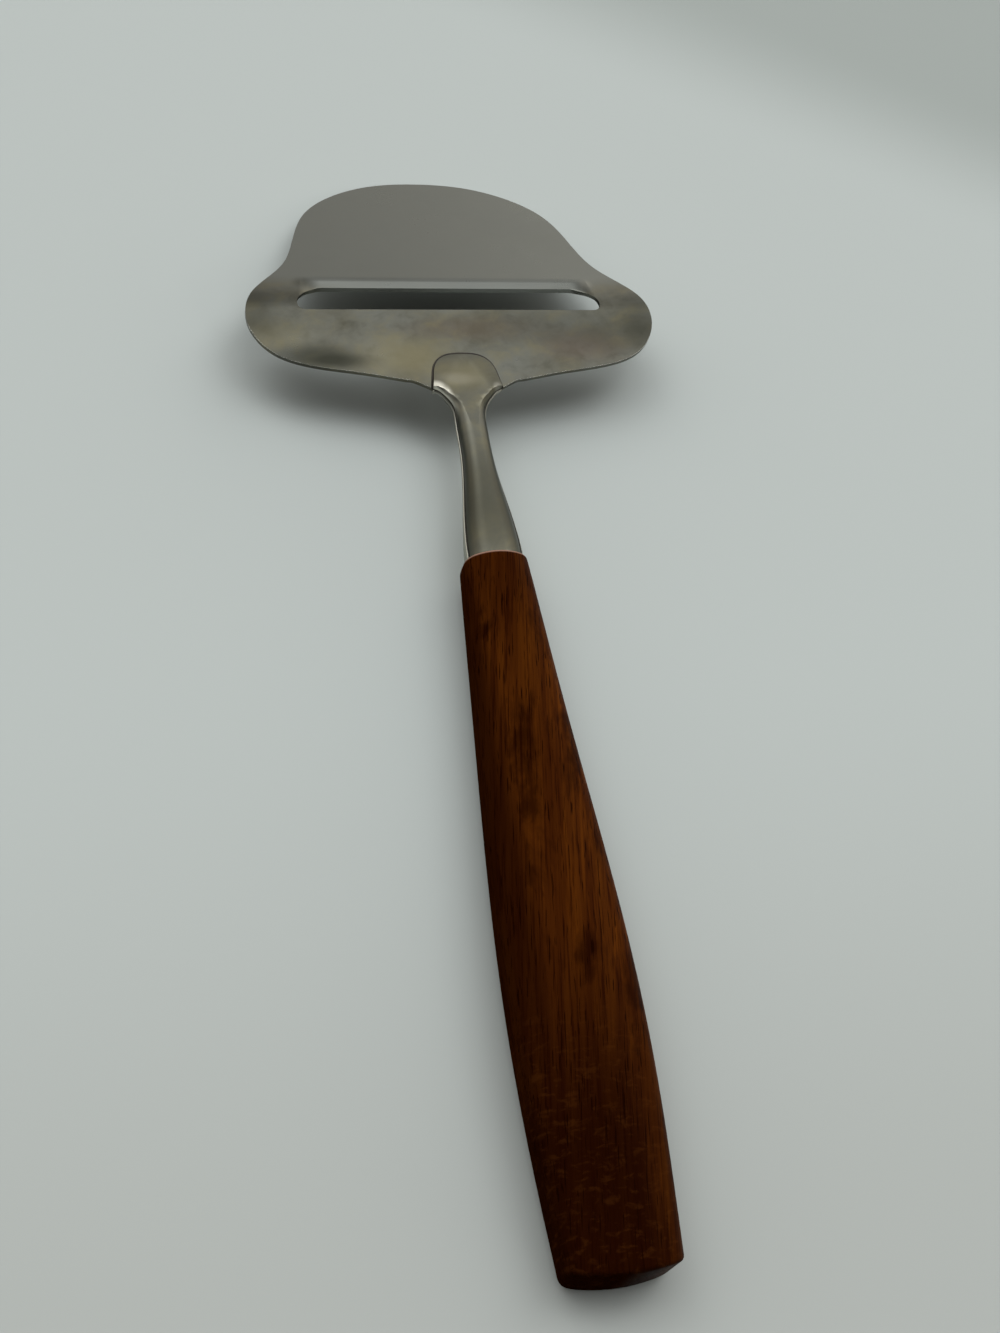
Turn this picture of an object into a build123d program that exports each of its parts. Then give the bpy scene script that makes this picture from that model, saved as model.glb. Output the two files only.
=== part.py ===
from build123d import *
from math import cos, radians, sin, sqrt, tan
import os

# A cheese slicer that lies right way up. X runs across the blade, Y from the butt of the handle to the tip
# of the blade and Z up. The origin is under the middle of the outline, on the surface that it lies on.
# Until they are placed there, all pieces are drawn with Y counted from the rear edge of the slot.
# Lengths are in millimetres and angles in degrees.

# Blade, one bent stainless sheet
sheet_thickness = 0.9
blade_width = 87.8
tongue_reach = 46.9  # from the rear edge of the slot to the tip
rear_reach = 21.0  # from the rear edge of the slot back to the corners of the neck
tongue_tilt = 14.3  # the tongue slopes down to its tip
tilt_radius = 24.0  # inside this bend the sheet turns from level to the slope of the tongue

# Slot and its pressed and ground lip
slot_length = 65.8
slot_gap = 5.3  # at its ends, where the lip isn't pressed down
slot_front_radius = 3.4
slot_rear_radius = 1.8
lip_setback = 4.6  # from the bend line of the lip to the front edge of the slot
lip_angle = 15.0  # how far the lip is pressed down from the tongue
lip_land = 2.5  # flat of the lip ahead of its ground facet
lip_reach = 2.8  # bend line to cutting edge
lip_fade = 5.0  # length over which each end of the lip runs out
lip_fade_steps = 6
lip_end_gap = 0.7  # from the end of the lip to the end of the slot

# Neck, two pressed shells welded along a seam
neck_length = 40.3  # from the corners at the blade to the wood
neck_wall = 0.8
corner_width = 14.5
waist_width = 6.0
neck_end_width = 11.1
corner_height = 2.3
waist_height = 6.0
neck_end_height = 10.2
foot_length = 8.9  # the arch-shaped foot ahead of the corners
foot_step = 0.45  # how far the middle of the foot stands above the blade between the corners
foot_tip_step = 0.2  # the same at the front of its arch
trough_width = 10.8  # between the corners, from ridge to ridge
trough_end_width = 5.0
trough_depth = 0.4
seam_drop = 2.1  # the seam lies this far below the middle of the sheet

# Tang and the block that carries it
plug_length = 5.0
plug_clearance = 0.1
tang_width = 5.0
tang_height = 3.0
tang_length = 78.0
tang_inset = 8.0  # how far the tang reaches into the neck
tang_tip = 1.2
glue_gap = 0.2

# Handle, one piece of wood
handle_length = 136.9
handle_width = 23.4
handle_height = 13.5
front_width = 13.1
front_height = 11.7
butt_width = 19.9
butt_height = 12.9
front_lift = 1.7  # the underside rises by this much at the neck
top_crown = 1.5
front_crown = 2.6  # the handle is rounder at the neck
side_crown = 0.4
sole_crown = 0.3  # planed off where the underside lies on the table
handle_corner_radius = 3.6
front_corner_radius = 4.8
butt_crown = 1.5
butt_corner_radius = 2.6
rim_radius = 0.8  # rounds the rims at both ends

overrun = 5.0  # how far cutting shapes run past what they cut

# Half of the blade's outline from its tip, as shares of half its width and of the tongue's reach
tongue_outline_shares = [(0, 1), (0.35, 0.94), (0.62, 0.737), (0.715, 0.5), (0.79, 0.313), (0.884, 0.203),
                         (0.965, 0.098), (1, -0.035)]
# The rest of it, round the shoulder and in to the neck, as shares of half its width and of the rear reach
shoulder_outline_shares = [(0.965, -0.35), (0.877, -0.565), (0.729, -0.7), (0.455, -0.81), (0.273, -0.89)]
corner_slope_share = 0.6  # how steeply the rear edge meets the neck

# The foot's outline, as shares of half its width and of its length
foot_shoulder_shares = (0.91, 0.45)
foot_bow_shares = (0.66, 0.86)

# Places along the neck, as shares of its length from the corners
flare_end_share = 0.16
flare_power = 2.4  # how quickly the flare at the corners runs in
waist_share = 0.22
growth_start_share = 0.32
neck_round_share = 0.86  # corner radius of the neck's sections, as a share of the largest possible
neck_section_shares = [0, 0.04, 0.08, 0.12, 0.16, 0.22, 0.32, 0.45, 0.6, 0.75, 0.88, 1]

# Sections of the handle between front and butt: place along the handle and width as a share of the widest
handle_width_shares = [(0.2, 0.71), (0.45, 0.9), (0.69, 1), (0.86, 0.949)]
widest_share = 0.69
sole_share = 0.45  # behind this place the underside is level
round_share = 0.5  # behind this place the top has its plain crown and corners

tilt = radians(tongue_tilt)
bend_end = tilt_radius * sin(tilt)
bend_drop = tilt_radius * (1 - cos(tilt))
blade_top = sheet_thickness / cos(tilt) + bend_drop + (tongue_reach - bend_end) * tan(tilt)
blade_under = blade_top - sheet_thickness
wood_front = -rear_reach - neck_length
butt_end = wood_front - handle_length
centre_shift = -(butt_end + tongue_reach) / 2
lip_half = slot_length / 2 - lip_end_gap


def cross_plane(y):
    """A plane across the slicer, with its own x along X and its own y along Z."""
    return Plane(origin=(0, y, 0), x_dir=(1, 0, 0), z_dir=(0, -1, 0))


def tongue_top(y):
    """Height of the tongue's upper face, ahead of its bend."""
    return blade_top - bend_drop - (y - bend_end) * tan(tilt)


def sheet_arc(radius):
    """The bend from level to the slope of the tongue, about a centre below the slot's rear edge."""
    centre = blade_top - tilt_radius
    ends = [(radius * sin(a), centre + radius * cos(a)) for a in (0, tilt / 2, tilt)]
    return ThreePointArc(*ends)


def bent_sheet():
    """The blade's sheet seen from the side, across its whole width."""
    upper = sheet_arc(tilt_radius)
    lower = sheet_arc(tilt_radius - sheet_thickness)
    tip = tongue_reach + overrun
    tip_top = (tip, tongue_top(tip))
    tip_under = (tip, tongue_top(tip) - sheet_thickness / cos(tilt))
    rear_top = (-rear_reach - overrun, blade_top)
    rear_under = (-rear_reach - overrun, blade_under)
    outline = [
        Line(rear_top, upper @ 0),
        upper,
        Line(upper @ 1, tip_top),
        Line(tip_top, tip_under),
        Line(tip_under, lower @ 1),
        lower,
        Line(lower @ 0, rear_under),
        Line(rear_under, rear_top),
    ]
    side = make_face(Curve() + outline)
    return extrude(Plane.YZ * side, blade_width / 2 + overrun, both=True)


def blade_plan():
    """The blade seen from above: tongue, shoulders and the straight end inside the neck."""
    half = blade_width / 2
    tongue = [(x * half, y * tongue_reach) for x, y in tongue_outline_shares]
    shoulder = [(x * half, y * rear_reach) for x, y in shoulder_outline_shares]
    corner = (corner_width / 2, -rear_reach)
    edge = Spline(*tongue, *shoulder, corner, tangents=[(1, 0), (-1, -corner_slope_share)])
    right = make_face(Curve() + [edge, Line(corner, (0, -rear_reach)), Line((0, -rear_reach), tongue[0])])
    return right + mirror(right, Plane.YZ)


def slot_plan():
    """The slot seen from above, with larger corners at its front."""
    middle = slot_gap / 2
    slot = Pos(0, middle) * Rectangle(slot_length, slot_gap)
    front = slot.vertices().group_by(Axis.Y)[-1]
    slot = fillet(front, slot_front_radius)
    rear = slot.vertices().group_by(Axis.Y)[0]
    return fillet(rear, slot_rear_radius)


def on_tongue(along, above):
    """A point of the side view, along the tongue from the lip's bend line to the slot, and above its face."""
    bend_line = slot_gap + lip_setback
    return (bend_line - along * cos(tilt) + above * sin(tilt),
            tongue_top(bend_line) + along * sin(tilt) + above * cos(tilt))


def lip_section(x):
    """The lip's outline at one place across the blade: pressed down and ground, but flat at its ends."""
    into_corner = max(0, abs(x) - slot_length / 2 + slot_front_radius)
    corner_rise = slot_front_radius - sqrt(slot_front_radius ** 2 - into_corner ** 2)
    flat = (lip_setback + corner_rise) / cos(tilt)
    straight = (slot_gap + lip_setback - bend_end) / cos(tilt)
    pressed = min(1, (lip_half - abs(x)) / lip_fade)
    pressed = pressed ** 2 * (3 - 2 * pressed)
    angle = radians(lip_angle) * pressed
    land = flat + pressed * (lip_land - flat)
    flat_under = flat - sheet_thickness * tan(tilt)
    reach = flat_under + pressed * (lip_reach - flat_under)
    knee = land * straight / flat
    sag = (1 - pressed) * (flat - straight) ** 2 / (2 * tilt_radius)

    def on_lip(along, above):
        return on_tongue(along * cos(angle) + above * sin(angle), above * cos(angle) - along * sin(angle))

    points = [on_tongue(0, 0), on_lip(knee, 0), on_lip(land, -sag), on_lip(reach, -sheet_thickness - sag),
              on_lip(knee, -sheet_thickness), on_tongue(0, -sheet_thickness)]
    return Plane.YZ.offset(x) * make_face(Polyline(*points, close=True))


def lip_window():
    """What is cut from the sheet to make room for the lip, square to the tongue."""
    reach = lip_setback + slot_gap / 2
    points = [on_tongue(0, overrun), on_tongue(reach, overrun), on_tongue(reach, -overrun),
              on_tongue(0, -overrun)]
    side = make_face(Polyline(*points, close=True))
    return extrude(Plane.YZ * side, lip_half, both=True)


def slicer_blade():
    """The bent sheet cut to its outline, with the slot and the pressed lip."""
    plan = Pos(0, 0, -overrun) * extrude(blade_plan(), blade_top + 2 * overrun)
    slot = Pos(0, 0, -overrun) * extrude(slot_plan(), blade_top + 2 * overrun)
    blade = (bent_sheet() & plan) - slot - lip_window()
    full = lip_half - lip_fade
    blade += extrude(lip_section(-full), 2 * full)
    for side in (-1, 1):
        places = [full + lip_fade * step / lip_fade_steps for step in range(lip_fade_steps + 1)]
        blade += loft([lip_section(side * place) for place in places], ruled=True)
    return blade


def neck_width(share):
    """Width of the neck: a quick flare at the corners, a slim waist and a slow growth to the wood."""
    flare = max(0, 1 - share / flare_end_share) ** flare_power
    growth = max(0, (share - growth_start_share) / (1 - growth_start_share))
    growth = growth ** 2 * (3 - 2 * growth)
    return waist_width + flare * (corner_width - waist_width) + growth * (neck_end_width - waist_width)


def neck_height(share):
    """Height of the neck: it deepens quickly behind the blade and then steadily to the wood."""
    opening = min(1, share / waist_share)
    opening = opening * (2 - opening)
    growth = max(0, (share - waist_share) / (1 - waist_share))
    opened = corner_height + opening * (waist_height - corner_height)
    return opened + growth * (neck_end_height - waist_height)


def neck_section(share, inset):
    """A rounded section across the neck. Its top runs almost level from the blade to the wood."""
    first_top = blade_top + foot_step + trough_depth
    last_top = front_lift + (front_height + neck_end_height) / 2
    top = first_top + share * (last_top - first_top)
    width = neck_width(share) - 2 * inset
    height = neck_height(share) - 2 * inset
    radius = neck_round_share * min(width, height) / 2
    place = cross_plane(-rear_reach - share * neck_length) * Pos(0, top - height / 2 - inset)
    return place * RectangleRounded(width, height, radius)


def neck_loft(inset=0):
    """The neck's outside, or with an inset its hollow, which starts where the waist leaves room for it."""
    first = 0 if inset == 0 else waist_share
    return loft([neck_section(share, inset) for share in neck_section_shares if share >= first])


def arch_foot():
    """The arch-shaped foot of a shell, seen from above."""
    half = corner_width / 2
    corner = (half, -rear_reach)
    shoulder = (foot_shoulder_shares[0] * half, -rear_reach + foot_shoulder_shares[1] * foot_length)
    bow = (foot_bow_shares[0] * half, -rear_reach + foot_bow_shares[1] * foot_length)
    tip = (0, -rear_reach + foot_length)
    side = Line(corner, shoulder)
    arch = Spline(shoulder, bow, tip, tangents=[side % 1, (-1, 0)])
    right = make_face(Curve() + [side, arch, Line(tip, (0, -rear_reach)), Line((0, -rear_reach), corner)])
    return right + mirror(right, Plane.YZ)


def foot_wedge():
    """The space for the upper foot, which rises from the front of its arch to the ridges at the corners."""
    tip = -rear_reach + foot_length
    points = [(-rear_reach, blade_top), (-rear_reach, blade_top + foot_step + trough_depth),
              (tip, blade_top + foot_tip_step), (tip, blade_top)]
    return extrude(Plane.YZ * make_face(Polyline(*points, close=True)), corner_width, both=True)


def trough_section(y, floor, width):
    """The trough's outline across the neck: an arc from ridge to ridge, and open above."""
    half = width / 2
    ridge = floor + trough_depth
    roof = ridge + overrun
    outline = [
        ThreePointArc((-half, ridge), (0, floor), (half, ridge)),
        Polyline((half, ridge), (half, roof), (-half, roof), (-half, ridge)),
    ]
    return cross_plane(y) * make_face(Curve() + outline)


def trough():
    """The shallow hollow in the foot and between the ridges of the upper shell, which narrows to the waist."""
    floor = blade_top + foot_step
    fade = -rear_reach - neck_length * growth_start_share
    tip = trough_section(-rear_reach + foot_length, blade_top + foot_tip_step, trough_width)
    corner = trough_section(-rear_reach, floor, trough_width)
    end = trough_section(fade, floor + trough_depth, trough_end_width)
    return loft([tip, corner, end], ruled=True)


def above_seam():
    """The space above the seam: level along the neck, then up to the middle of the sheet."""
    sheet_middle = blade_top - sheet_thickness / 2
    seam = sheet_middle - seam_drop
    wood = wood_front - overrun
    waist = -rear_reach - waist_share * neck_length
    rise = Spline((waist, seam), (-rear_reach, sheet_middle), tangents=[(1, 0), (1, 0)])
    front = tongue_reach
    roof = blade_top + 2 * overrun
    outline = [
        Line((wood, seam), (waist, seam)),
        rise,
        Line((-rear_reach, sheet_middle), (front, sheet_middle)),
        Line((front, sheet_middle), (front, roof)),
        Line((front, roof), (wood, roof)),
        Line((wood, roof), (wood, seam)),
    ]
    return extrude(Plane.YZ * make_face(Curve() + outline), corner_width, both=True)


def neck_shells():
    """The upper and lower shell, each with its foot on one face of the blade."""
    body = neck_loft()
    hollow = neck_loft(neck_wall)
    upper_half = above_seam()
    foot = arch_foot()
    upper_foot = Pos(0, 0, blade_top) * extrude(foot, foot_step + trough_depth) & foot_wedge()
    lower_foot = Pos(0, 0, blade_under - neck_wall) * extrude(foot, neck_wall)
    upper = (body & upper_half) + upper_foot - trough() - hollow
    lower = (body - upper_half) + lower_foot - hollow
    return upper, lower


def neck_plug():
    """The block in the neck's open end, with the hole that the tang passes through."""
    hollow = neck_loft(neck_wall + plug_clearance)
    middle = front_lift + front_height / 2
    cut = Pos(0, wood_front + plug_length / 2, middle) * Box(front_width, plug_length, front_height)
    return (hollow & cut) - tang_bar(0, overrun)


def tang_bar(gap, extra=0):
    """The tang, or with a gap the hole for it."""
    middle = front_lift + front_height / 2
    start = wood_front + tang_inset + extra
    length = tang_length + extra + gap
    bar = Box(tang_width + 2 * gap, length, tang_height + 2 * gap)
    bar = Pos(0, start - length / 2, middle) * bar
    tip = bar.edges().filter_by(Axis.Z).group_by(Axis.Y)[0]
    return chamfer(tip, tang_tip)


def handle_section(share, width, height):
    """A section of the handle, crowned on all sides and with rounded corners."""
    under = front_lift * max(0, 1 - share / sole_share) ** 2
    rounder = max(0, 1 - share / round_share)
    crown = top_crown + rounder * (front_crown - top_crown)
    corner = handle_corner_radius + rounder * (front_corner_radius - handle_corner_radius)
    half = width / 2 - side_crown
    top = height - crown
    outline = [
        ThreePointArc((-half, 0), (0, -sole_crown), (half, 0)),
        ThreePointArc((half, 0), (width / 2, top / 2), (half, top)),
        ThreePointArc((half, top), (0, height), (-half, top)),
        ThreePointArc((-half, top), (-width / 2, top / 2), (-half, 0)),
    ]
    face = make_face(Curve() + outline)
    face = fillet(face.vertices(), corner * height / handle_height)
    return cross_plane(wood_front - share * handle_length) * Pos(0, under) * face


def handle_plan():
    """The handle's outline from above, which gives the butt its convex end and rounded corners."""
    half = handle_width / 2 + overrun
    butt = butt_width / 2
    front = wood_front + overrun
    widest = wood_front - widest_share * handle_length
    outline = [
        Line((-half, front), (half, front)),
        Line((half, front), (half, widest)),
        Line((half, widest), (butt, butt_end + butt_crown)),
        ThreePointArc((butt, butt_end + butt_crown), (0, butt_end), (-butt, butt_end + butt_crown)),
        Line((-butt, butt_end + butt_crown), (-half, widest)),
        Line((-half, widest), (-half, front)),
    ]
    plan = make_face(Curve() + outline)
    corners = plan.vertices().group_by(Axis.Y)[0]
    return fillet(corners, butt_corner_radius)


def handle():
    """The wooden handle, planed flat where it lies on the table, with the hole for the tang."""
    sections = [handle_section(0, front_width, front_height)]
    for share, width in handle_width_shares:
        if share < widest_share:
            height = front_height + (handle_height - front_height) * share / widest_share
        else:
            past = (share - widest_share) / (1 - widest_share)
            height = handle_height + (butt_height - handle_height) * past
        sections.append(handle_section(share, width * handle_width, height))
    sections.append(handle_section(1, butt_width, butt_height))
    body = loft(sections)
    reach = handle_height + front_lift
    body = body & extrude(handle_plan(), reach, both=True)
    front = body.faces().sort_by(Axis.Y)[-1]
    body = fillet(front.edges(), rim_radius)
    butt = body.faces().sort_by(Axis.Y)[0]
    body = fillet(butt.edges(), rim_radius)
    above_table = extrude(handle_plan(), reach)
    return (body & above_table) - tang_bar(glue_gap)


def save(name, shape):
    """Put a piece in its place and write it."""
    placed = Pos(0, centre_shift, 0) * shape
    placed.label = name
    export_step(placed, os.path.join("parts", name + ".step"))


os.makedirs("parts", exist_ok=True)
neck_top, neck_bottom = neck_shells()
save("slicer_blade", slicer_blade())
save("neck_top_shell", neck_top)
save("neck_bottom_shell", neck_bottom)
save("neck_plug", neck_plug())
save("tang", tang_bar(0))
save("handle", handle())
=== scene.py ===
from math import cos, radians, sin

import bpy
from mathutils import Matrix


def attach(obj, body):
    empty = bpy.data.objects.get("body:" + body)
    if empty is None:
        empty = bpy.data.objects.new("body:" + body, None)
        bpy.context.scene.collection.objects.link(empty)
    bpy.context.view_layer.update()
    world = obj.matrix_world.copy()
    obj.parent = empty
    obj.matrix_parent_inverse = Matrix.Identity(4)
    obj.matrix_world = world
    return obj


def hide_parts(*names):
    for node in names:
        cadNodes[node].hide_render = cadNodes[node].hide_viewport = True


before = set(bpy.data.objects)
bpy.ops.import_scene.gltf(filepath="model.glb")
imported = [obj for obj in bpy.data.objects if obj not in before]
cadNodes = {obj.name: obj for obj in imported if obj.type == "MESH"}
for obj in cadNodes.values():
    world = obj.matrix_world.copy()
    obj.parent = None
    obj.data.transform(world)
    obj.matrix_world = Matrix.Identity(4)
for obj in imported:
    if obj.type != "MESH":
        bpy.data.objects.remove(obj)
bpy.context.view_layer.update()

mm = 0.001

# Lines across the object, in metres: the slot's rear edge, the bend of its lip, the neck's corners and the
# wood's front end
slotRear = 75.65 * mm
lipBendLine = slotRear + 9.9 * mm
cornerLine = slotRear - 21.0 * mm
woodFront = 14.35 * mm

# Heights in metres: the blade's upper face and the neck's seam
bladeTop = 12.116 * mm
seamHeight = 9.566 * mm

# Points nearer than the first are one point, and an edge nearer than the second to a line lies on it
samePoint = 0.002 * mm
onLine = 0.01 * mm

# Settings that many nodes share. A Mix node of colours takes its amount at 0 and its colours at 6 and 7, and
# gives its result at 2
smoothRange = {"interpolation_type": "SMOOTHSTEP"}
patternPlace = {"vector_type": "TEXTURE"}
mixColours = {"data_type": "RGBA"}
noiseRoughness = 0.6


def linear(hexColour):
    # sRGB hex to the linear values that shaders use
    channels = [int(hexColour[i:i + 2], 16) / 255 for i in (1, 3, 5)]
    return tuple(c / 12.92 if c <= 0.04045 else ((c + 0.055) / 1.055) ** 2.4 for c in channels) + (1,)


def addNode(tree, kind, settings=None, inputs=None):
    # one node with its settings, and its inputs set to a value or linked to another node's output
    node = tree.nodes.new(kind)
    for name, value in (settings or {}).items():
        setattr(node, name, value)
    for name, value in (inputs or {}).items():
        if isinstance(value, bpy.types.NodeSocket):
            tree.links.new(value, node.inputs[name])
        else:
            node.inputs[name].default_value = value
    return node


def newMaterial(name):
    material = bpy.data.materials.new(name)
    material.use_nodes = True
    tree = material.node_tree
    tree.nodes.clear()
    return material, tree


def finishMaterial(tree, shader):
    output = tree.nodes.new("ShaderNodeOutputMaterial")
    tree.links.new(shader.outputs[0], output.inputs["Surface"])


def rampColours(node, stops):
    # colour stops as (place, hex)
    ramp = node.color_ramp
    while len(ramp.elements) > 1:
        ramp.elements.remove(ramp.elements[-1])
    ramp.elements[0].position = stops[0][0]
    ramp.elements[0].color = linear(stops[0][1])
    for place, colour in stops[1:]:
        ramp.elements.new(place).color = linear(colour)


def useOnly(piece):
    if bpy.context.object and bpy.context.object.mode != "OBJECT":
        bpy.ops.object.mode_set(mode="OBJECT")
    bpy.ops.object.select_all(action="DESELECT")
    piece.select_set(True)
    bpy.context.view_layer.objects.active = piece


def mergedCopy(nodeName, pieceName, mergeDistance=samePoint, flatAngle=0.3):
    # a CAD node's mesh with its loose triangles joined and its flat areas cleared of them
    node = cadNodes[nodeName]
    piece = bpy.data.objects.new(pieceName, node.data.copy())
    piece.data.name = pieceName
    piece.data.materials.clear()
    bpy.context.scene.collection.objects.link(piece)
    useOnly(piece)
    bpy.ops.mesh.customdata_custom_splitnormals_clear()
    bpy.ops.object.mode_set(mode="EDIT")
    bpy.ops.mesh.select_all(action="SELECT")
    bpy.ops.mesh.remove_doubles(threshold=mergeDistance)
    bpy.ops.mesh.dissolve_limited(angle_limit=radians(flatAngle))
    bpy.ops.mesh.select_all(action="DESELECT")
    bpy.ops.object.mode_set(mode="OBJECT")
    return piece


def startEdgeChoice(piece):
    # edit mode for edges, with none selected
    useOnly(piece)
    bpy.ops.object.mode_set(mode="EDIT")
    bpy.ops.mesh.select_mode(type="EDGE")
    bpy.ops.mesh.select_all(action="DESELECT")


def selectEdges(piece, test):
    # the edges that pass the test, which is given the edge and its two ends, left selected in edit mode
    startEdgeChoice(piece)
    bpy.ops.object.mode_set(mode="OBJECT")
    points = piece.data.vertices
    for edge in piece.data.edges:
        edge.select = test(edge, *[points[i].co for i in edge.vertices])
    bpy.ops.object.mode_set(mode="EDIT")


def roundEdges(piece, width, segments, angle, edgeMaterial=-1, share=lambda place: 1.0):
    # eases the sharp edges, and then lets the wide faces set the normals so that they stay flat
    useOnly(piece)
    bpy.ops.object.shade_smooth()
    startEdgeChoice(piece)
    bpy.ops.mesh.edges_select_sharp(sharpness=radians(angle))
    bpy.ops.object.mode_set(mode="OBJECT")
    weights = piece.data.attributes.new("bevel_weight_edge", "FLOAT", "EDGE")
    for edge in piece.data.edges:
        if edge.select:
            start, end = [piece.data.vertices[i].co for i in edge.vertices]
            weights.data[edge.index].value = share((start + end) / 2)
    bevel = piece.modifiers.new("rounded edges", "BEVEL")
    bevel.width = width
    bevel.segments = segments
    bevel.limit_method = "WEIGHT"
    bevel.use_clamp_overlap = True
    bevel.material = edgeMaterial
    bpy.ops.object.modifier_apply(modifier=bevel.name)
    normals = piece.modifiers.new("wide faces first", "WEIGHTED_NORMAL")
    normals.weight = 100
    bpy.ops.object.modifier_apply(modifier=normals.name)


def beadAlongSelection(piece, beadName, radius, rise=0.0, spread=1.0, resolution=3):
    # a fine round bead along the selected edges, as a piece of its own, raised, and spread out from the
    # middle of the neck's corners
    bpy.ops.mesh.duplicate()
    bpy.ops.mesh.separate(type="SELECTED")
    bpy.ops.object.mode_set(mode="OBJECT")
    bead = [item for item in bpy.context.selected_objects if item is not piece][0]
    bead.name = beadName
    useOnly(bead)
    bpy.ops.object.convert(target="CURVE")
    bead.data.bevel_depth = radius
    bead.data.bevel_resolution = resolution
    bead.data.use_fill_caps = True
    bpy.ops.object.convert(target="MESH")
    bead.data.name = beadName
    bpy.ops.object.mode_set(mode="EDIT")
    bpy.ops.mesh.select_all(action="SELECT")
    bpy.ops.mesh.remove_doubles(threshold=samePoint)
    bpy.ops.transform.translate(value=(0, 0, rise))
    bpy.ops.transform.resize(value=(spread, spread, 1), center_override=(0, cornerLine, 0))
    bpy.ops.mesh.normals_make_consistent(inside=False)
    bpy.ops.object.mode_set(mode="OBJECT")
    bpy.ops.object.shade_smooth()
    bead.data.materials.clear()
    return bead


# Satin stainless steel sheet, rolled, pressed and fine-brushed, then used for many years: an even grey
# sheen on the tongue, and warm, cloudy tarnish behind the slot where fingers and washing have dulled it.
# Sizes are in mm: across X, along Y and through Z.
steelLook = {
    "clean": "#767873",
    "tarnished": "#565346",
    "warm": "#787156",
    "brown": "#5a4c40",
    # A darker tint, for dull patches and also for marks of painted shade.
    "dullAndShade": "#383830",
    # A near-white tint that paints highlights where it is laid.
    "paintedHighlight": "#d2cec0",
    "patterns": {  # size, detail and distortion, and turn in degrees
        "brush": ((16.0, 0.5, 0.5), 1.0, 0.0, 0.0),  # drawn coarser than the real grit so that it shows
        "cloud": ((15.0, 15.0, 15.0), 6.0, 0.0, 0.0),
        "smudge": ((6.0, 4.5, 6.0), 6.0, 0.3, 20.0),
        "wave": ((38.0, 38.0, 38.0), 1.0, 0.0, 0.0),  # slow waves left by pressing
    },
    "brushHeight": 0.0002,
    "waveHeight": 0.03,
    "roughness": 0.3,
    "roughnessSpread": 0.035,  # added and taken away by the clouds
    "brushSpread": 0.008,  # and by the brushing
    "spreadRange": (0.3, 0.7),  # the pattern's values at which all of that is taken away and added
    "tarnish": (0.05, 0.9),  # its amount ahead of the slot and behind it
    "tarnishLines": (slotRear + 4 * mm, slotRear - 3 * mm),  # in metres, where it starts and is full
    "lobeSlope": 0.22,  # how far those lines move forward for each step sideways, towards the lobes
    "layers": [  # pattern, its values at the least and most of the tint, those amounts, and tint
        ("cloud", 0.35, 0.65, 0.45, 1.0, "tarnished"),
        ("smudge", 0.5, 0.7, 0.0, 0.45, "warm"),
        ("smudge", 0.48, 0.3, 0.0, 0.4, "dullAndShade"),
    ],
    "stains": [],  # marks that the layers don't give: tint, and each mark's place, half sizes and strength
    "stainFade": (1.6, 0.2),  # a mark starts and is full at these shares of its half sizes
    "stainDepth": 30.0,
}

# Marks on the blade: warm and brown patches, and darker patches, of which the large one at the left lobe's rear
# is painted shade for the darker reflection where the plate bends down. At the lip's ends, a dark mark paints
# out a highlight on the left and a painted highlight lightens the dark bend on the right.
bladeStains = [
    ("warm", [(-11.5, 63.0, 10.0, 5.0, 0.6), (-36.5, 69.0, 6.0, 3.5, 0.35)]),
    ("brown", [(27.0, 66.0, 9.0, 4.0, 0.5), (4.0, 70.5, 14.0, 3.0, 0.3)]),
    ("dullAndShade", [(-31.0, 63.2, 8.5, 3.2, 0.8), (-24.5, 61.8, 6.0, 1.8, 0.45), (42.0, 73.0, 5.0, 7.0, 0.5),
              (20.0, 71.0, 12.0, 5.0, 0.3), (-42.5, 77.0, 5.0, 6.0, 0.4), (-31.0, 84.2, 2.0, 1.6, 0.5),
              (36.0, 68.5, 9.0, 5.0, 0.35), (-38.0, 71.0, 7.0, 4.0, 0.25)]),
    ("paintedHighlight", [(31.2, 84.2, 1.3, 1.3, 0.12)]),
]
bladeLook = dict(steelLook, stains=bladeStains)

# The rim behind the slot is rubbed smooth, and its steel is painted near white so that it shows as a bright
# highlight line
paintedHighlightEdgeLook = dict(steelLook, roughness=0.24, roughnessSpread=0.02, clean="#e4e4de", tarnished="#e6e4da")

# The neck and the tang are brushed along their length, so their brushing is turned
lengthwise = dict(steelLook["patterns"], brush=((16.0, 0.5, 0.5), 1.0, 0.0, 90.0))
tangLook = dict(steelLook, patterns=lengthwise, tarnish=(0.05, 0.0))

# The neck is darker, with painted highlights on its left ridge, its right border and across its top, and darker
# over its lower part; the shell below the seam and its weld are painted brighter, a painted reflection of the
# bright floor
neckStains = [
    ("warm", [(0.0, 58.0, 6.0, 4.0, 0.5)]),
    ("dullAndShade", [(-1.0, 27.0, 20.0, 14.0, 0.8)]),
    ("paintedHighlight", [(-6.7, 55.0, 1.4, 1.0, 0.9), (-5.4, 52.6, 1.5, 2.1, 1.0), (-4.2, 49.6, 1.2, 2.4, 0.9),
                (6.2, 54.6, 0.8, 0.9, 0.25), (-2.0, 56.8, 4.0, 1.5, 0.1)]),
]
neckLook = dict(steelLook, patterns=lengthwise, stains=neckStains,
                roughness=0.38, clean="#61615b", tarnished="#5b594d", dullAndShade="#403f36")
# Painted reflection: a light base below the seam that stands for the bright floor it reflects
neckUnderPaintedBrightLook = dict(neckLook, clean="#a5a59c", tarnished="#9c998a", tarnish=(0.05, 0.5), stains=[])


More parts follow.
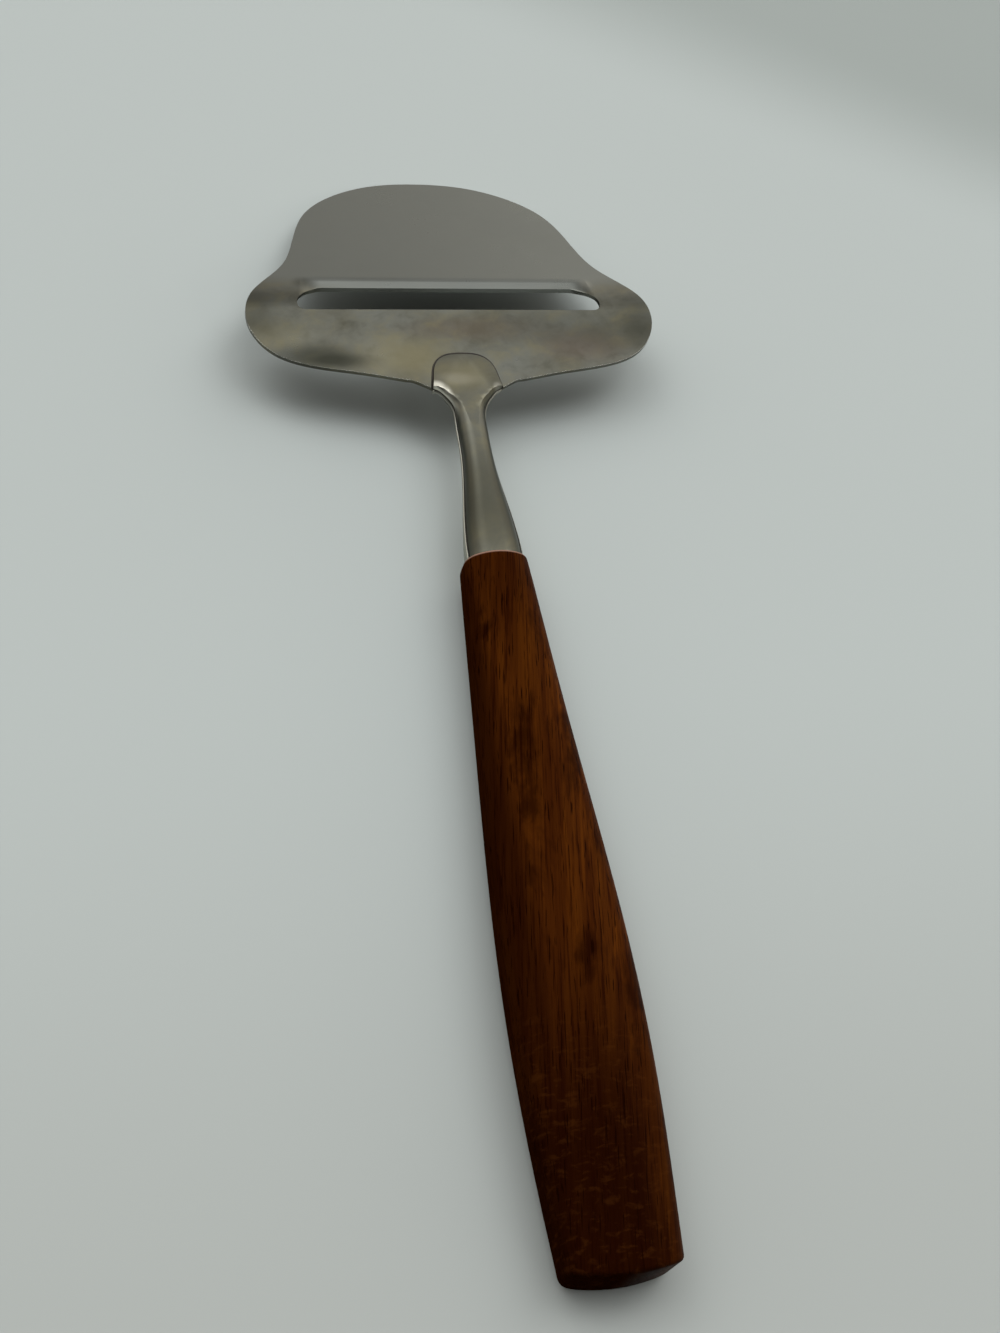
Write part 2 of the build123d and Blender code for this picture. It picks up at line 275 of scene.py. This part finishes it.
def stainAmount(tree, spot, stains, look):
    # soft round marks at the listed places, added up
    start, full = look["stainFade"]
    total = 0.0
    for x, y, wide, deep, strength in stains:
        local = addNode(tree, "ShaderNodeMapping", patternPlace, {
            "Vector": spot, "Location": (x, y, bladeTop / mm), "Scale": (wide, deep, look["stainDepth"])})
        distance = addNode(tree, "ShaderNodeVectorMath", {"operation": "LENGTH"}, {0: local.outputs[0]})
        mark = addNode(tree, "ShaderNodeMapRange", smoothRange, {
            "Value": distance.outputs["Value"], "From Min": start, "From Max": full,
            "To Min": 0.0, "To Max": strength})
        total = addNode(tree, "ShaderNodeMath", {"operation": "ADD"}, {
            0: total, 1: mark.outputs[0]}).outputs[0]
    return total


def satinSteel(name, look):
    material, tree = newMaterial(name)
    place = addNode(tree, "ShaderNodeTexCoord").outputs["Object"]
    spot = addNode(tree, "ShaderNodeVectorMath", {"operation": "SCALE"}, {
        0: place, "Scale": 1 / mm}).outputs[0]
    noise = {}
    for kind, (size, detail, distortion, turn) in look["patterns"].items():
        stretched = addNode(tree, "ShaderNodeMapping", patternPlace, {
            "Vector": spot, "Rotation": (0, 0, radians(turn)), "Scale": size})
        noise[kind] = addNode(tree, "ShaderNodeTexNoise", None, {
            "Vector": stretched.outputs[0], "Scale": 1.0, "Detail": detail, "Roughness": noiseRoughness,
            "Distortion": distortion}).outputs["Fac"]

    # tarnish lies behind the slot, and reaches further forward at the two lobes beside it
    along = addNode(tree, "ShaderNodeSeparateXYZ", None, {0: place})
    sideways = addNode(tree, "ShaderNodeMath", {"operation": "ABSOLUTE"}, {0: along.outputs["X"]})
    forward = addNode(tree, "ShaderNodeMath", {"operation": "MULTIPLY_ADD"}, {
        0: sideways.outputs[0], 1: -look["lobeSlope"], 2: along.outputs["Y"]})
    startLine, fullLine = look["tarnishLines"]
    ahead, rear = look["tarnish"]
    behind = addNode(tree, "ShaderNodeMapRange", smoothRange, {
        "Value": forward.outputs[0], "From Min": startLine, "From Max": fullLine,
        "To Min": ahead, "To Max": rear}).outputs[0]
    colour = linear(look["clean"])
    for kind, start, end, low, high, tint in look["layers"]:
        amount = addNode(tree, "ShaderNodeMapRange", None, {
            "Value": noise[kind], "From Min": start, "From Max": end, "To Min": low, "To Max": high})
        amountBehind = addNode(tree, "ShaderNodeMath", {"operation": "MULTIPLY"}, {
            0: behind, 1: amount.outputs[0]})
        colour = addNode(tree, "ShaderNodeMix", mixColours, {
            0: amountBehind.outputs[0], 6: colour, 7: linear(look[tint])}).outputs[2]
    for tint, stains in look["stains"]:
        colour = addNode(tree, "ShaderNodeMix", mixColours, {
            0: stainAmount(tree, spot, stains, look), 6: colour, 7: linear(look[tint])}).outputs[2]

    start, end = look["spreadRange"]
    roughness = 0.0
    for kind, middle, spread in (("cloud", look["roughness"], look["roughnessSpread"]),
                                 ("brush", 0.0, look["brushSpread"])):
        change = addNode(tree, "ShaderNodeMapRange", None, {
            "Value": noise[kind], "From Min": start, "From Max": end,
            "To Min": middle - spread, "To Max": middle + spread})
        roughness = addNode(tree, "ShaderNodeMath", {"operation": "ADD"}, {
            0: roughness, 1: change.outputs[0]}).outputs[0]
    slow = addNode(tree, "ShaderNodeBump", None, {
        "Strength": 1.0, "Distance": look["waveHeight"] * mm, "Height": noise["wave"]})
    fine = addNode(tree, "ShaderNodeBump", None, {
        "Strength": 1.0, "Distance": look["brushHeight"] * mm, "Height": noise["brush"],
        "Normal": slow.outputs[0]})
    shader = addNode(tree, "ShaderNodeBsdfPrincipled", None, {
        "Base Color": colour, "Metallic": 1.0, "Roughness": roughness, "Normal": fine.outputs[0]})
    finishMaterial(tree, shader)
    return material


# Dark oiled teak: slow dark bands, fine fibres and open pores that run a little across the handle, darker
# clouds, and darker still towards the butt, with a few cross marks there. Painted light and shade: the left
# side is painted darker, more so at the butt, the golden streaks are painted fuller on the lit right side, and
# the front rim has a painted highlight.
# Sizes are in mm: across the grain, along it and into the wood.
teakLook = {
    "grain": {  # size, detail, distortion and turn from the handle's length in degrees
        "bands": ((2.6, 70.0, 5.0), 3.0, 0.4, -8.0),
        "fibres": ((0.42, 16.0, 0.8), 3.0, 0.3, -8.0),  # coarser than real fibres so that they show
        "pores": ((0.3, 6.5, 0.5), 1.0, 0.2, -8.0),
        "clouds": ((7.0, 17.0, 9.0), 4.0, 0.2, -8.0),
        "glows": ((1.6, 30.0, 2.0), 3.0, 0.2, -8.0),
        "marks": ((2.2, 1.2, 4.0), 4.0, 0.5, 0.0),
    },
    "masks": {  # what it reads, where it starts and is full, and its amounts there
        "toRight": ("X", 0.0, 11 * mm, 0.0, 1.0),
        # painted shade: the left side is darkened
        "paintedShadeLeft": ("X", -3 * mm, -8 * mm, 0.0, 0.75),
        "toFront": ("Y", -25 * mm, 12 * mm, 0.0, 0.35),
        "toButt": ("Y", -55 * mm, -105 * mm, 0.0, 1.0),
        "gloss": ("X", -1 * mm, 8 * mm, 0.0, 0.02),
        "markedEnd": ("Y", -70 * mm, -92 * mm, 0.0, 1.0),
        "paintedRimHighlight": ("Y", woodFront - 0.8 * mm, woodFront - 0.4 * mm, 0.0, 0.7),
        "fibre": ("fibres", 0.52, 0.32, 0.0, 0.85),
        "glow": ("glows", 0.5, 0.72, 0.0, 0.8),
        "cloud": ("clouds", 0.46, 0.66, 0.0, 0.75),
        "mark": ("marks", 0.5, 0.7, 0.0, 0.16),
        "pore": ("pores", 0.615, 0.69, 0.0, 0.8),
        # painted light: the golden streaks fuller on the lit right side; painted shade: the butt darker on its
        # left
        "paintedLightRight": ("toRight", 0.0, 1.0, 0.25, 1.0),
        "paintedShadeSide": ("toRight", 0.2, 1.0, 0.9, 0.5),
        "roughness": ("fibres", 0.3, 0.7, 0.4, 0.54),
    },
    "joined": [  # new mask, and the two that it is made of
        ("streaksAndPaintedLight", "glow", "MULTIPLY", "paintedLightRight"),
        ("butt", "toButt", "MULTIPLY", "paintedShadeSide"),
        ("cloudsAndPaintedShade", "cloud", "MAXIMUM", "butt"),
        ("cloudsAndPaintedShade", "cloudsAndPaintedShade", "MAXIMUM", "paintedShadeLeft"),
        ("cloudsAndPaintedShade", "cloudsAndPaintedShade", "MAXIMUM", "toFront"),
        ("marked", "mark", "MULTIPLY", "markedEnd"),
    ],
    "bands": [(0.3, "#361604"), (0.5, "#462106"), (0.7, "#562c08")],
    "tints": [  # laid over the bands in this order
        ("fibre", "#260b02"),
        ("streaksAndPaintedLight", "#6a370a"),
        ("cloudsAndPaintedShade", "#190501"),
        ("marked", "#5c3312"),
        ("pore", "#120300"),
        ("paintedRimHighlight", "#b08a78"),  # painted highlight on the front rim where the neck goes in
    ],
    "sheenTint": "#c86e32",
    "poreDepth": 0.03,
    "fibreDepth": 0.012,
}


def oiledTeak(name, look):
    material, tree = newMaterial(name)
    place = addNode(tree, "ShaderNodeTexCoord").outputs["Object"]
    along = addNode(tree, "ShaderNodeSeparateXYZ", None, {0: place})
    read = {"X": along.outputs["X"], "Y": along.outputs["Y"]}
    for kind, (size, detail, distortion, turn) in look["grain"].items():
        stretched = addNode(tree, "ShaderNodeMapping", patternPlace, {
            "Vector": place, "Rotation": (0, 0, radians(turn)),
            "Scale": tuple(mm * length for length in size)})
        read[kind] = addNode(tree, "ShaderNodeTexNoise", None, {
            "Vector": stretched.outputs[0], "Scale": 1.0, "Detail": detail, "Roughness": noiseRoughness,
            "Distortion": distortion}).outputs["Fac"]
    for kind, (source, start, end, low, high) in look["masks"].items():
        read[kind] = addNode(tree, "ShaderNodeMapRange", smoothRange, {
            "Value": read[source], "From Min": start, "From Max": end,
            "To Min": low, "To Max": high}).outputs[0]
    for kind, first, operation, second in look["joined"]:
        read[kind] = addNode(tree, "ShaderNodeMath", {"operation": operation}, {
            0: read[first], 1: read[second]}).outputs[0]

    bandColour = addNode(tree, "ShaderNodeValToRGB", None, {"Fac": read["bands"]})
    rampColours(bandColour, look["bands"])
    colour = bandColour.outputs[0]
    for kind, tint in look["tints"]:
        colour = addNode(tree, "ShaderNodeMix", mixColours, {
            0: read[kind], 6: colour, 7: linear(tint)}).outputs[2]
    relief = addNode(tree, "ShaderNodeBump", None, {
        "Strength": 1.0, "Distance": look["fibreDepth"] * mm, "Height": read["fibres"]})
    pitted = addNode(tree, "ShaderNodeBump", {"invert": True}, {
        "Strength": 1.0, "Distance": look["poreDepth"] * mm, "Height": read["pore"],
        "Normal": relief.outputs[0]})
    shader = addNode(tree, "ShaderNodeBsdfPrincipled", None, {
        "Base Color": colour, "Roughness": read["roughness"], "Specular IOR Level": read["gloss"],
        "Specular Tint": linear(look["sheenTint"]), "Normal": pitted.outputs[0]})
    finishMaterial(tree, shader)
    return material


# Dark film round the foot's joint, and painted shade along the neck seam's groove: matt and nearly black-brown.
# Sizes are in mm.
jointLook = {
    "colour": "#1e1810",
    "paler": "#3a3226",
    "roughness": 0.7,
    "speckSize": 0.8,
    "speckHeight": 0.03,
    "speckDetail": 2.0,
    "speckRange": (0.35, 0.65),  # the pattern's values at the least and most of the paler tint
    "speckMost": 0.6,
}


def darkLineMaterial(name, look):
    material, tree = newMaterial(name)
    place = addNode(tree, "ShaderNodeTexCoord").outputs["Object"]
    specks = addNode(tree, "ShaderNodeTexNoise", None, {
        "Vector": place, "Scale": 1 / (look["speckSize"] * mm), "Detail": look["speckDetail"]})
    start, end = look["speckRange"]
    amount = addNode(tree, "ShaderNodeMapRange", None, {
        "Value": specks.outputs["Fac"], "From Min": start, "From Max": end,
        "To Min": 0.0, "To Max": look["speckMost"]})
    colour = addNode(tree, "ShaderNodeMix", mixColours, {
        0: amount.outputs[0], 6: linear(look["colour"]), 7: linear(look["paler"])})
    relief = addNode(tree, "ShaderNodeBump", None, {
        "Strength": 1.0, "Distance": look["speckHeight"] * mm, "Height": specks.outputs["Fac"]})
    shader = addNode(tree, "ShaderNodeBsdfPrincipled", None, {
        "Base Color": colour.outputs[2], "Roughness": look["roughness"], "Normal": relief.outputs[0]})
    finishMaterial(tree, shader)
    return material


bladeSteel = satinSteel("satin stainless blade", bladeLook)
paintedHighlightEdgeSteel = satinSteel("rubbed steel edge painted bright", paintedHighlightEdgeLook)
neckSteel = satinSteel("satin stainless neck", neckLook)
neckUnderPaintedBrightSteel = satinSteel("stainless under the neck, painted bright", neckUnderPaintedBrightLook)
tangSteel = satinSteel("mill finish tang steel", tangLook)
teak = oiledTeak("oiled teak", teakLook)
darkJointAndSeamShade = darkLineMaterial("dark joint film and painted seam shade", jointLook)
print("materials made")

# Blade: the CAD sheet with its edges eased
bladeSizes = {
    "mergeDistance": 0.03 * mm,
    "rearRounding": 0.41 * mm,
    "edgeShare": 0.5,  # the other edges' rounding as a share of the rear rim's
    "edgeSegments": 4,
    "sharpAngle": 40,
    "brightEdgeEnd": slotRear - 4 * mm,  # behind this line the rim is rounder and carries the painted highlight
    "lipBend": 0.8 * mm,  # the soft bend where the lip is pressed down
    "lipBendSegments": 6,
}
blade = mergedCopy("slicer_blade", "blade_sheet", bladeSizes["mergeDistance"])
selectEdges(blade, lambda edge, start, end: abs(start.y - lipBendLine) + abs(end.y - lipBendLine) < onLine)
bpy.ops.mesh.bevel(offset=bladeSizes["lipBend"], segments=bladeSizes["lipBendSegments"], affect="EDGES")
bpy.ops.object.mode_set(mode="OBJECT")
blade.data.materials.append(bladeSteel)
blade.data.materials.append(paintedHighlightEdgeSteel)
roundEdges(blade, bladeSizes["rearRounding"], bladeSizes["edgeSegments"], bladeSizes["sharpAngle"], 1,
           lambda place: 1.0 if place.y < bladeSizes["brightEdgeEnd"] else bladeSizes["edgeShare"])
for face in blade.data.polygons:
    if face.center.y > bladeSizes["brightEdgeEnd"]:
        face.material_index = 0
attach(blade, "root")
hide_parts("slicer_blade")
print("blade made")

# Neck: the two pressed shells, the dark film round the foot, a dark line of painted shade in the seam's groove
# and a light weld along the seam, painted bright
neckSizes = {
    "edgeRounding": 0.12 * mm,
    "edgeSegments": 2,
    "sharpAngle": 40,
    "footJoint": 0.24 * mm,  # the beads' radii, and how far those on the seam stand above it
    "footSpread": 1.025,
    # The seam's dark line is painted shade for its groove.
    "seamShadeLine": 0.14 * mm,
    "shadeLineRise": 0.24 * mm,
    "seamWeld": 0.34 * mm,
    "weldRise": -0.15 * mm,
    "rimReach": 0.05 * mm,  # the rim's faces lie no further than this below the seam
    "rimTilt": 0.5,  # they face up at least this much, and a side wall faces up or down less than the next
    "wallTilt": 0.8,
}


def onFootEdge(edge, start, end):
    # the foot's lower edge, on the blade and ahead of the neck's corners
    flat = max(abs(start.z - bladeTop), abs(end.z - bladeTop)) < onLine
    return flat and min(start.y, end.y) > cornerLine - onLine and max(start.y, end.y) > cornerLine + onLine


def selectSeam(piece):
    # the outer edge of the rim that meets the other shell, which is where a side wall meets an upward face
    rims, walls = set(), set()
    for face in piece.data.polygons:
        high = face.center.z > seamHeight - neckSizes["rimReach"]
        if face.center.y < cornerLine and face.normal.z > neckSizes["rimTilt"] and high:
            rims.update(face.edge_keys)
        elif face.normal.x * face.center.x > 0 and abs(face.normal.z) < neckSizes["wallTilt"]:
            walls.update(face.edge_keys)
    selectEdges(piece, lambda edge, start, end: edge.key in rims and edge.key in walls)


upper = mergedCopy("neck_top_shell", "neck_upper")
selectEdges(upper, onFootEdge)
footJoint = beadAlongSelection(upper, "foot_joint_line", neckSizes["footJoint"],
                               spread=neckSizes["footSpread"])
lower = mergedCopy("neck_bottom_shell", "neck_lower")
selectSeam(lower)
# painted shade: a dark bead lying in the seam's groove
seamShadeLine = beadAlongSelection(lower, "neck_seam_line", neckSizes["seamShadeLine"], neckSizes["shadeLineRise"])
selectSeam(lower)
seamWeld = beadAlongSelection(lower, "neck_seam_weld", neckSizes["seamWeld"], neckSizes["weldRise"])
for shell, nodeName, steel in ((upper, "neck_top_shell", neckSteel),
                               (lower, "neck_bottom_shell", neckUnderPaintedBrightSteel)):
    roundEdges(shell, neckSizes["edgeRounding"], neckSizes["edgeSegments"], neckSizes["sharpAngle"])
    shell.data.materials.append(steel)
    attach(shell, "root")
    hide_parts(nodeName)
for bead, material in ((footJoint, darkJointAndSeamShade), (seamShadeLine, darkJointAndSeamShade), (seamWeld, neckUnderPaintedBrightSteel)):
    bead.data.materials.append(material)
    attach(bead, "root")
print("neck made")

# Handle: the CAD body, smooth across all but its sharp edges
handleSizes = {"smoothBelow": 35}
wood = mergedCopy("handle", "handle_wood")
useOnly(wood)
bpy.ops.object.shade_smooth_by_angle(angle=radians(handleSizes["smoothBelow"]))
wood.data.materials.append(teak)
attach(wood, "root")
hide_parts("handle")
print("handle made")

# The plug and the tang inside are the CAD nodes themselves
for nodeName in ("neck_plug", "tang"):
    cadNodes[nodeName].data.materials.clear()
    cadNodes[nodeName].data.materials.append(tangSteel)

# Floor: a plain pale sheet of card, with painted shade: darker towards the camera, and a painted soft shadow
# across the far right corner
floorLook = {
    # Painted shade: the near side is darker than the far side, and the corner tint is a painted soft shadow
    # across the far right corner.
    "near": "#b6bab6",
    "far": "#c0c6c3",
    "corner": "#a8aeaa",
    "farRange": (-130 * mm, 0.0),  # where the far tone starts and is full, along Y
    "cornerRange": (165 * mm, 212 * mm),  # and the corner's painted shadow, in the direction below
    "cornerDirection": (0.486, 0.874, 0.0),
    "size": 3.0,
    "roughness": 0.9,
    "gloss": 0.1,
}


def paleCard(name, look):
    material, tree = newMaterial(name)
    place = addNode(tree, "ShaderNodeTexCoord").outputs["Object"]
    along = addNode(tree, "ShaderNodeSeparateXYZ", None, {0: place})
    cornerwise = addNode(tree, "ShaderNodeVectorMath", {"operation": "DOT_PRODUCT"}, {
        0: place, 1: look["cornerDirection"]})
    colour = linear(look["near"])
    for tint, value in (("far", along.outputs["Y"]), ("corner", cornerwise.outputs["Value"])):
        start, end = look[tint + "Range"]
        amount = addNode(tree, "ShaderNodeMapRange", smoothRange, {
            "Value": value, "From Min": start, "From Max": end, "To Min": 0.0, "To Max": 1.0})
        colour = addNode(tree, "ShaderNodeMix", mixColours, {
            0: amount.outputs[0], 6: colour, 7: linear(look[tint])}).outputs[2]
    shader = addNode(tree, "ShaderNodeBsdfPrincipled", None, {
        "Base Color": colour, "Roughness": look["roughness"], "Specular IOR Level": look["gloss"]})
    finishMaterial(tree, shader)
    return material


bpy.ops.object.select_all(action="DESELECT")
bpy.ops.mesh.primitive_plane_add(size=floorLook["size"], location=(0, 0, 0))
floor = bpy.context.object
floor.name = "floor"
floor.data.materials.append(paleCard("pale matt card", floorLook))

# Light: a soft sky of wide glows, brightest high on the right and ahead on the left, with two small lamps
# behind the camera
skyLook = {
    "rings": {  # height angle: compass angle of its first glow from +X, and its evenly spaced glows' brightness
        8: (0, [0.68, 1.26, 0.72, 0.78, 0.25, 1.00, 0.48, 0, 0, 0, 0, 0.62]),
        25: (0, [0.20, 0.44, 0.85, 0.08, 0.31, 0.44, 0.45, 0, 0, 0, 0, 0.32]),
        42: (0, [0, 1.68, 0, 0.20, 1.60, 1.08, 0, 0, 0, 0, 0, 0]),
        60: (22.5, [2.35, 1.15, 1.91, 0.93, 0, 0, 0, 0]),
        77: (45, [1.39, 0, 0, 0]),
    },
    "core": 6,  # degrees around its middle in which a glow is full, and where it ends
    "end": 22,
    "lamps": [(272, 39, 3.2), (303, 34, 3.2)],  # compass angle, height angle and brightness
    "lampCore": 3,
    "lampEnd": 8,
    "low": "#fffbf3",
    "high": "#fcfeff",
    "toneRange": (0.2, 0.8),  # the sines of the height angles up to which it is low and from which it is high
}
world = bpy.data.worlds.new("soft studio")
bpy.context.scene.world = world
world.use_nodes = True
worldTree = world.node_tree
worldTree.nodes.clear()
skyPlace = addNode(worldTree, "ShaderNodeTexCoord").outputs["Generated"]
glows = []
for height, (first, row) in skyLook["rings"].items():
    for count, brightness in enumerate(row):
        if brightness:
            compass = first + count * 360 / len(row)
            glows.append((compass, height, brightness, skyLook["core"], skyLook["end"]))
glows += [(*lamp, skyLook["lampCore"], skyLook["lampEnd"]) for lamp in skyLook["lamps"]]
strength = 0.0
for compass, height, brightness, core, end in glows:
    around, up = radians(compass), radians(height)
    nearness = addNode(worldTree, "ShaderNodeVectorMath", {"operation": "DOT_PRODUCT"}, {
        0: skyPlace, 1: (cos(up) * cos(around), cos(up) * sin(around), sin(up))})
    glow = addNode(worldTree, "ShaderNodeMapRange", smoothRange, {
        "Value": nearness.outputs["Value"], "From Min": cos(radians(end)), "From Max": cos(radians(core)),
        "To Min": 0.0, "To Max": brightness})
    strength = addNode(worldTree, "ShaderNodeMath", {"operation": "ADD"}, {
        0: strength, 1: glow.outputs[0]}).outputs[0]
skyHeight = addNode(worldTree, "ShaderNodeSeparateXYZ", None, {0: skyPlace})
lowEnd, highStart = skyLook["toneRange"]
skyTone = addNode(worldTree, "ShaderNodeMapRange", smoothRange, {
    "Value": skyHeight.outputs["Z"], "From Min": lowEnd, "From Max": highStart, "To Min": 0.0, "To Max": 1.0})
skyColour = addNode(worldTree, "ShaderNodeMix", mixColours, {
    0: skyTone.outputs[0], 6: linear(skyLook["low"]), 7: linear(skyLook["high"])})
sky = addNode(worldTree, "ShaderNodeBackground", None, {"Color": skyColour.outputs[2], "Strength": strength})
worldOutput = worldTree.nodes.new("ShaderNodeOutputWorld")
worldTree.links.new(sky.outputs[0], worldOutput.inputs["Surface"])
print("stage and light made")

# Camera, at the viewing angle of the photograph
cameraLook = {
    "place": (-82.23 * mm, -166.07 * mm, 291.81 * mm),
    "turn": (30.156, -10.687, -9.176),  # in degrees
    "lens": 63.01,
    "sensorWidth": 36,
    "clipStart": 10 * mm,
}
bpy.ops.object.camera_add(location=cameraLook["place"], rotation=[radians(a) for a in cameraLook["turn"]])
camera = bpy.context.object
camera.name = "camera"
camera.data.sensor_fit = "HORIZONTAL"
camera.data.sensor_width = cameraLook["sensorWidth"]
camera.data.lens = cameraLook["lens"]
camera.data.clip_start = cameraLook["clipStart"]
bpy.context.scene.camera = camera
bpy.context.scene.view_settings.view_transform = "Standard"
